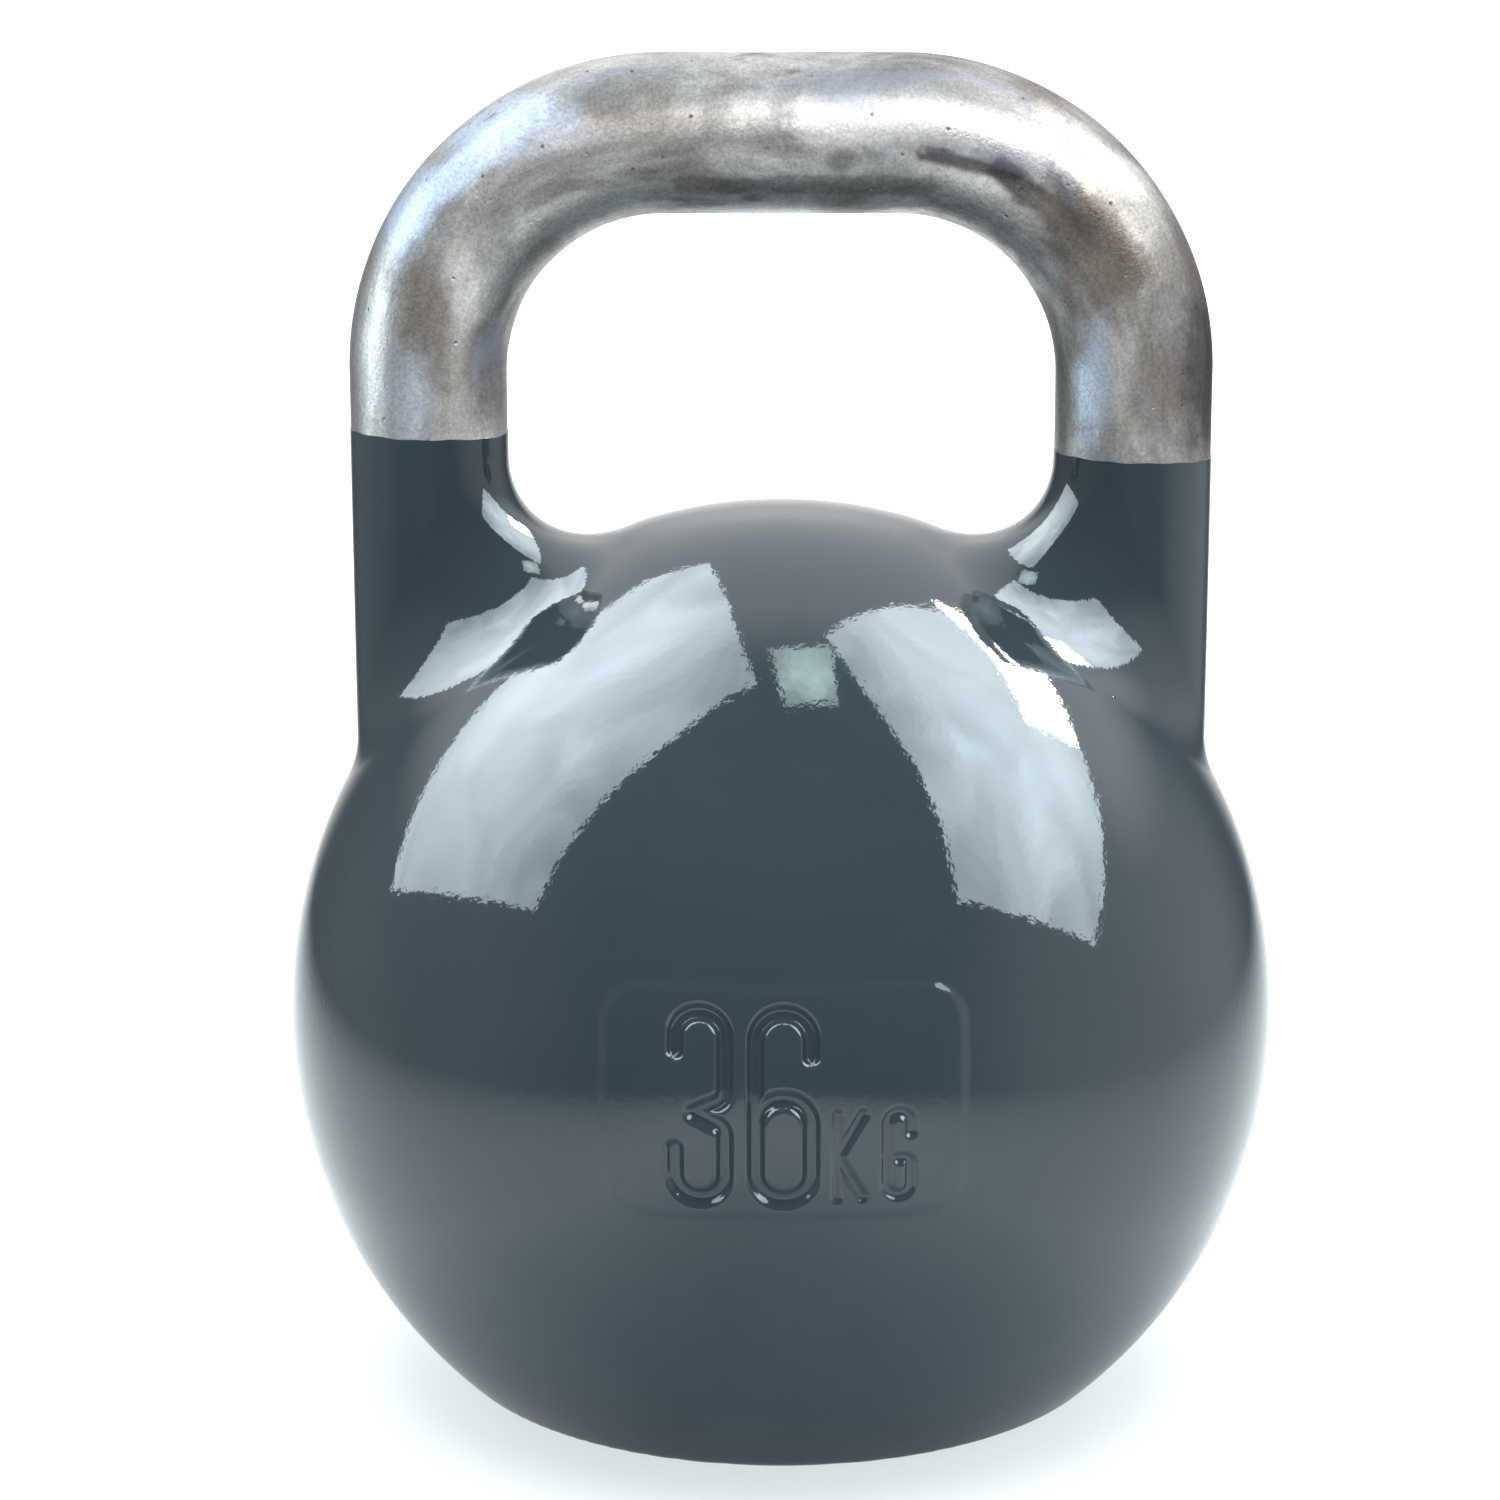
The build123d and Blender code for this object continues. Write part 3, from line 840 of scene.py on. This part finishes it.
# bare handle
handle = dict(
    radius=16.5 * mm,
    endRadius=16.32 * mm,
    bend=49.0 * mm,
    foot=188.0 * mm,
    taper=(22.0 * mm, 48.0 * mm),  # runs from each end between which it grows to its full radius
    wavesFrom=(30.0 * mm, 50.0 * mm),
    waviness=0.16 * mm,
    rows=420,
    columns=128,
)


def handlePath(s):
    # up the right horn, round the bend, along the grip, round the other bend and down; s is the run
    top = barHigh.z - handle["radius"]
    up = top - handle["bend"] - handle["foot"]
    quarter = handle["bend"] * math.pi / 2
    half = horn["x"] - handle["bend"]
    total = 2 * (up + quarter + half)
    mirrored = s > total / 2
    t = np.where(mirrored, total - s, s)
    angle = np.clip((t - up) / handle["bend"], 0.0, math.pi / 2)
    x = half + handle["bend"] * np.cos(angle) - np.maximum(t - up - quarter, 0.0)
    z = top - handle["bend"] + handle["bend"] * np.sin(angle) + np.minimum(t - up, 0.0)
    normalX, normalZ = np.cos(angle), np.sin(angle)
    sign = np.where(mirrored, -1.0, 1.0)
    return x * sign, z, normalX * sign, normalZ, total


def handleGrid():
    # rings of points round the path, their radius less the hand-ground waves
    total = handlePath(np.zeros(1))[4]
    s = np.linspace(0.0, total, handle["rows"])
    x, z, nx, nz, _ = handlePath(s)
    phi = np.linspace(0.0, 2 * math.pi, handle["columns"], endpoint=False)
    s2, phi2 = s[:, None], phi[None, :]
    fromEnd = np.minimum(s2, total - s2)
    growth = handle["radius"] - handle["endRadius"]
    radius = handle["endRadius"] + growth * smooth(*handle["taper"], fromEnd)
    # hand-ground unevenness: a few slow waves that run along and around the bar, always inwards
    waves = (
        np.sin(s2 / (21 * mm) + 2.0 * phi2 + 0.7) * np.sin(s2 / (13 * mm) - phi2)
        + 0.6 * np.sin(s2 / (7.5 * mm) + 3.0 * phi2 + 2.1)
        + 0.35 * np.sin(s2 / (4.2 * mm) - 5.0 * phi2 + 1.3)
    )
    depth = handle["waviness"] * 0.5 * (1.0 + np.tanh(waves))
    radius = radius - depth * smooth(*handle["wavesFrom"], fromEnd)
    across, deep = radius * np.cos(phi2), radius * np.sin(phi2)
    points = np.stack([x[:, None] + across * nx[:, None], deep, z[:, None] + across * nz[:, None]], axis=-1)
    # the same points on a straightened bar, for patterns that run along it
    straight = np.stack([s2 + 0.0 * phi2, across, deep], axis=-1)
    return points, straight


handlePoints, handlePlaces = handleGrid()
handleNormals = gridNormals(handlePoints, True)
centreLine = handlePoints.mean(axis=1, keepdims=True)
if np.sum(handleNormals * (handlePoints - centreLine)) < 0:
    handleNormals = -handleNormals
handleBare = makePiece(
    "handle_bare",
    handlePoints.reshape(-1, 3),
    handleNormals.reshape(-1, 3),
    gridQuads(*handlePoints.shape[:2], True),
    steelMaterial,
    ["handle_bar"],
    places=handlePlaces.reshape(-1, 3),
)
handleBare.visible_glossy = False  # the top of the ball doesn't mirror it
print("stage: handle", handlePoints.shape)

# weld bands
barLength = handlePath(np.zeros(1))[4]
weld = dict(
    middle=200.98 * mm,
    half=2.6 * mm,
    proud=0.02 * mm,
    waves=((0.3 * mm, 3, 1.0), (0.2 * mm, 8, 0.0)),  # height, count round the bar, start by side
    rows=14,
    columns=160,
)
for side, label in ((-1, "left"), (1, "right")):
    turn = np.linspace(0.0, 2 * math.pi, weld["columns"], endpoint=False)[None, :]
    along = np.linspace(-1.0, 1.0, weld["rows"])[:, None]
    # slightly proud of the bar in its middle, sunk into it at both edges
    bandRadius = handle["endRadius"] + weld["proud"] * (1.0 - 2.2 * along**4) + 0.0 * turn
    height = weld["middle"] + weld["half"] * along
    for wave, count, bySide in weld["waves"]:
        height = height + wave * np.sin(count * turn + bySide * side)
    across, deep = bandRadius * np.cos(turn), bandRadius * np.sin(turn)
    points = np.stack([side * horn["x"] + across, deep, height], axis=-1)
    normals = gridNormals(points, True)
    if np.sum(normals[5, 0] * (points[5, 0] - points[5].mean(axis=0))) < 0:
        normals = -normals
    # the same place on the straightened bar as the steel beside it
    rise = height - handle["foot"]
    run = rise if side > 0 else barLength - rise
    places = np.stack([run, side * across, deep], axis=-1)
    makePiece(
        f"weld_band_{label}",
        points.reshape(-1, 3),
        normals.reshape(-1, 3),
        gridQuads(*points.shape[:2], True),
        weldMaterial,
        [f"handle_weld_{label}"],
        places=places.reshape(-1, 3),
    )
print("stage: welds")

# carried-over pieces
dull = {
    # material, darkest and lightest colour, roughness, metallic, scale
    "base_plug": ("blackenedPlug", (0.016, 0.017, 0.018), (0.032, 0.033, 0.034), 0.42, 0.85, 60.0),
    "plug_seal": ("sealRubber", (0.010, 0.010, 0.010), (0.018, 0.018, 0.018), 0.65, 0.0, 200.0),
    "lock_screw": ("oxideScrew", (0.05, 0.05, 0.052), (0.11, 0.11, 0.11), 0.36, 1.0, 300.0),
    "ballast_cushion": ("cushionRubber", (0.014, 0.014, 0.014), (0.03, 0.03, 0.03), 0.8, 0.0, 120.0),
    "ballast_core": ("shotInResin", (0.05, 0.045, 0.04), (0.14, 0.13, 0.12), 0.7, 0.4, 260.0),
}
carried = {node: makeDullMetal(*values) for node, values in dull.items()}
carried["handle_dowel_left"] = makeGroundSteel("dowelSteel", False)
carried["trim_disc_1"] = makeGroundSteel("trimSteel", False)
carried["handle_dowel_right"] = carried["handle_dowel_left"]
carried["trim_disc_2"] = carried["trim_disc_3"] = carried["trim_disc_1"]
for node, material in carried.items():
    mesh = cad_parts[node].data
    mesh.materials.clear()
    mesh.materials.append(material)
print("stage: carried-over pieces")

# floor, light and camera
studio = dict(
    floorColour=(0.86, 0.91, 0.93),
    floorSize=14.0,
    tableShape=(1 / 0.40, 1 / 0.95, 0.0),  # the lit table's half sizes, as factors
    tableFade=(0.45, 1.5),
    # painted shade under the ball, in the gloss only
    shadeUnderBall=(0.10, 0.34, 0.8, 0.0),
    wallFrom=(0.0, 0.40),
    wallUp=(0.22, 0.50, 0.0, 1.3),
    behind=(0.85, 0.985, 0.12, 1.1),
    rightSide=(0.55, 1.0, 0.0, 0.75),
    leftSide=(-0.60, -1.0, 0.0, 0.25),
    overhead=3.9,
    overheadSpread=50.0,
    overheadShares=(("overheadFill", 0.35, True), ("overheadLift", 0.65, False)),
)
# in the gloss the floor thins out with distance, as a lit table top in a dim room does, and close under the
# ball, where this is painted shade: distance = length of the floor place divided by the table's half sizes
floorMaterial, floorTree, floorShader = newMaterial("paleFloor")
floorShader.inputs["Base Color"].default_value = (*studio["floorColour"], 1.0)
floorShader.inputs["Roughness"].default_value = 0.85
floorShader.inputs["Specular IOR Level"].default_value = 0.0
floorPlace = addNode(floorTree, "ShaderNodeTexCoord").outputs["Object"]
scaled = vectorMaths(floorTree, "MULTIPLY", floorPlace, studio["tableShape"])
away = vectorMaths(floorTree, "LENGTH", scaled)
fade = rangeNode(floorTree, away, *studio["tableFade"])
# painted shade: the floor seen in the gloss darkens close under the ball
under = rangeNode(floorTree, away, *studio["shadeUnderBall"], "LINEAR")
glossRay = addNode(floorTree, "ShaderNodeLightPath").outputs["Is Glossy Ray"]
thinning = addNode(floorTree, "ShaderNodeMixShader", {
    "Fac": maths(floorTree, "MULTIPLY", maths(floorTree, "MAXIMUM", fade, under), glossRay),
    1: floorShader.outputs["BSDF"],
    2: addNode(floorTree, "ShaderNodeBsdfTransparent").outputs["BSDF"],
})
floorOut = next(node for node in floorTree.nodes if node.type == "OUTPUT_MATERIAL")
link(floorTree, thinning.outputs["Shader"], floorOut.inputs["Surface"])
far = studio["floorSize"]
floorMesh = bpy.data.meshes.new("floor")
floorMesh.from_pydata([(-far, -far, 0), (far, -far, 0), (far, far, 0), (-far, far, 0)], [], [(0, 1, 2, 3)])
floorMesh.materials.append(floorMaterial)
floor = bpy.data.objects.new("floor", floorMesh)
bpy.context.scene.collection.objects.link(floor)

# straight to the camera the room is plain white; the gloss sees a lit wall from a little above the horizon,
# white right behind, dim in front, and dim light from both sides
world = bpy.data.worlds.new("studio")
bpy.context.scene.world = world
world.use_nodes = True
room = world.node_tree
room.nodes.clear()
direction = addNode(room, "ShaderNodeTexCoord").outputs["Generated"]
parts = addNode(room, "ShaderNodeSeparateXYZ", {"Vector": direction}).outputs
wall = maths(room, "MULTIPLY", rangeNode(room, parts["Y"], *studio["wallFrom"]),
             rangeNode(room, parts["Z"], *studio["wallUp"]))
sides = maths(room, "ADD", rangeNode(room, parts["X"], *studio["rightSide"]),
              rangeNode(room, parts["X"], *studio["leftSide"]))
glow = maths(room, "ADD", maths(room, "ADD", rangeNode(room, parts["Y"], *studio["behind"]), wall), sides)
seen = addNode(room, "ShaderNodeLightPath").outputs["Is Camera Ray"]
plain = addNode(room, "ShaderNodeMix", {"Factor": seen, "A": glow, "B": 1.0}, data_type="FLOAT")
background = addNode(room, "ShaderNodeBackground", {
    "Color": (1.0, 1.0, 1.0, 1.0), "Strength": plain.outputs["Result"],
})
worldOut = room.nodes.new("ShaderNodeOutputWorld")
link(room, background.outputs["Background"], worldOut.inputs["Surface"])


def bearing(azimuth, elevation):
    # azimuth is measured from -Y towards +X
    a, e = math.radians(azimuth), math.radians(elevation)
    return Vector((math.sin(a) * math.cos(e), -math.cos(a) * math.cos(e), math.sin(e)))


def panelGlow(light):
    # cloudy unevenness across the panel, brighter in its middle
    light.use_nodes = True
    tree = light.node_tree
    spread = addNode(tree, "ShaderNodeNewGeometry").outputs["Parametric"]
    cloud = noiseNode(tree, spread, 2.6, 3.0, 0.5, 0.8)
    level = rangeNode(tree, cloud["Fac"], 0.3, 0.7, 0.72, 1.25, "LINEAR")
    middle = vectorMaths(tree, "DISTANCE", spread, (0.5, 0.5, 0.0))
    falloff = rangeNode(tree, middle, 0.0, 0.62, 1.36, 0.66)
    link(tree, maths(tree, "MULTIPLY", level, falloff), tree.nodes["Emission"].inputs["Strength"])


def addPanel(name, azimuth, elevation, shiftU, shiftV, width, height, roll, radiance, colour, distance):
    # flat light panel facing the ball's middle; shifts and sizes are given at one unit of distance
    towards = bearing(azimuth, elevation)
    side = towards.cross(Vector((0, 0, 1))).normalized()
    up = side.cross(towards)
    centre = Vector((0, 0, ballZ)) + (towards + side * shiftU + up * shiftV) * distance
    turn = math.radians(roll)
    along = side * math.cos(turn) + up * math.sin(turn)
    upward = towards.cross(along)
    light = bpy.data.lights.new(name, "AREA")
    light.shape = "RECTANGLE"
    light.size, light.size_y = width * distance, height * distance
    light.energy = radiance * math.pi * light.size * light.size_y
    light.color = colour
    panelGlow(light)
    lamp = bpy.data.objects.new(name, light)
    lamp.visible_diffuse = False
    axes = [(*axis, last) for axis, last in ((along, 0), (upward, 0), (towards, 0), (centre, 1))]
    lamp.matrix_world = Matrix(axes).transposed()
    bpy.context.scene.collection.objects.link(lamp)
    return lamp


def litPieces(name, names):
    # a collection that only says which pieces a panel lights; it isn't part of the scene
    group = bpy.data.collections.new(name)
    for part in names:
        group.objects.link(bpy.data.objects[part])
    return group


painted = ["bell_surface", "weight_mark", "base_port"]
notBare = painted + ["floor"]
bare = [part.name for part in bpy.data.objects if part.type == "MESH" and part.name not in notBare]
paint, metal = litPieces("litPaint", painted), litPieces("litSteel", bare)
cool, green, white = (0.78, 0.92, 1.0), (0.76, 1.0, 0.97), (1.0, 0.99, 0.97)
panels = [
    # name, azimuth, elevation, shifts, sizes, roll, radiance, colour, distance, pieces lit
    ("leftPanel", -100, 45, 0.053, 0.093, 1.28, 0.92, 63, 9.8, cool, 2.2, paint),
    ("rightPanel", 90, 50, 0.004, -0.049, 1.26, 0.74, -40, 11.5, cool, 2.2, paint),
    ("keyPanel", 124, 41, -0.03, 0.02, 0.42, 0.18, -6, 60.0, white, 2.0, paint),
    ("topPanel", 100, 84, 0.013, 0.02, 0.27, 0.20, 0, 8.0, green, 2.4, paint),
    ("leftSteelPanel", -85, 16, 0.0, 0.0, 0.5, 1.0, 0, 3.4, cool, 2.2, metal),
    ("highSteelPanel", -70, 62, 0.0, 0.0, 0.9, 0.8, 60, 2.4, cool, 2.2, metal),
    ("rightSteelPanel", 95, 55, 0.0, 0.0, 0.9, 0.6, -40, 2.2, white, 2.2, metal),
    ("frontSteelPanel", 12, 36, 0.0, 0.0, 1.9, 0.55, 0, 3.6, white, 2.4, metal),
]
for *panel, pieces in panels:
    addPanel(*panel).light_linking.receiver_collection = pieces

for name, share, shadow in studio["overheadShares"]:
    sunLight = bpy.data.lights.new(name, "SUN")
    sunLight.energy = studio["overhead"] * share
    sunLight.angle = math.radians(studio["overheadSpread"])
    sunLight.use_shadow = shadow
    sun = bpy.data.objects.new(name, sunLight)
    sun.visible_glossy = False
    bpy.context.scene.collection.objects.link(sun)

view = dict(lens=92.35, shift=-0.0207, place=(0.0, -0.800, 0.3095), downwards=12.4)
cameraData = bpy.data.cameras.new("camera")
cameraData.lens = view["lens"]
cameraData.sensor_width = 36.0
cameraData.shift_x = view["shift"]
cameraData.clip_start = 0.01
camera = bpy.data.objects.new("camera", cameraData)
camera.location = view["place"]
camera.rotation_euler = (math.radians(90.0 - view["downwards"]), 0.0, 0.0)
bpy.context.scene.collection.objects.link(camera)
bpy.context.scene.camera = camera
bpy.context.scene.view_settings.view_transform = "Standard"
print("stage: studio ready")
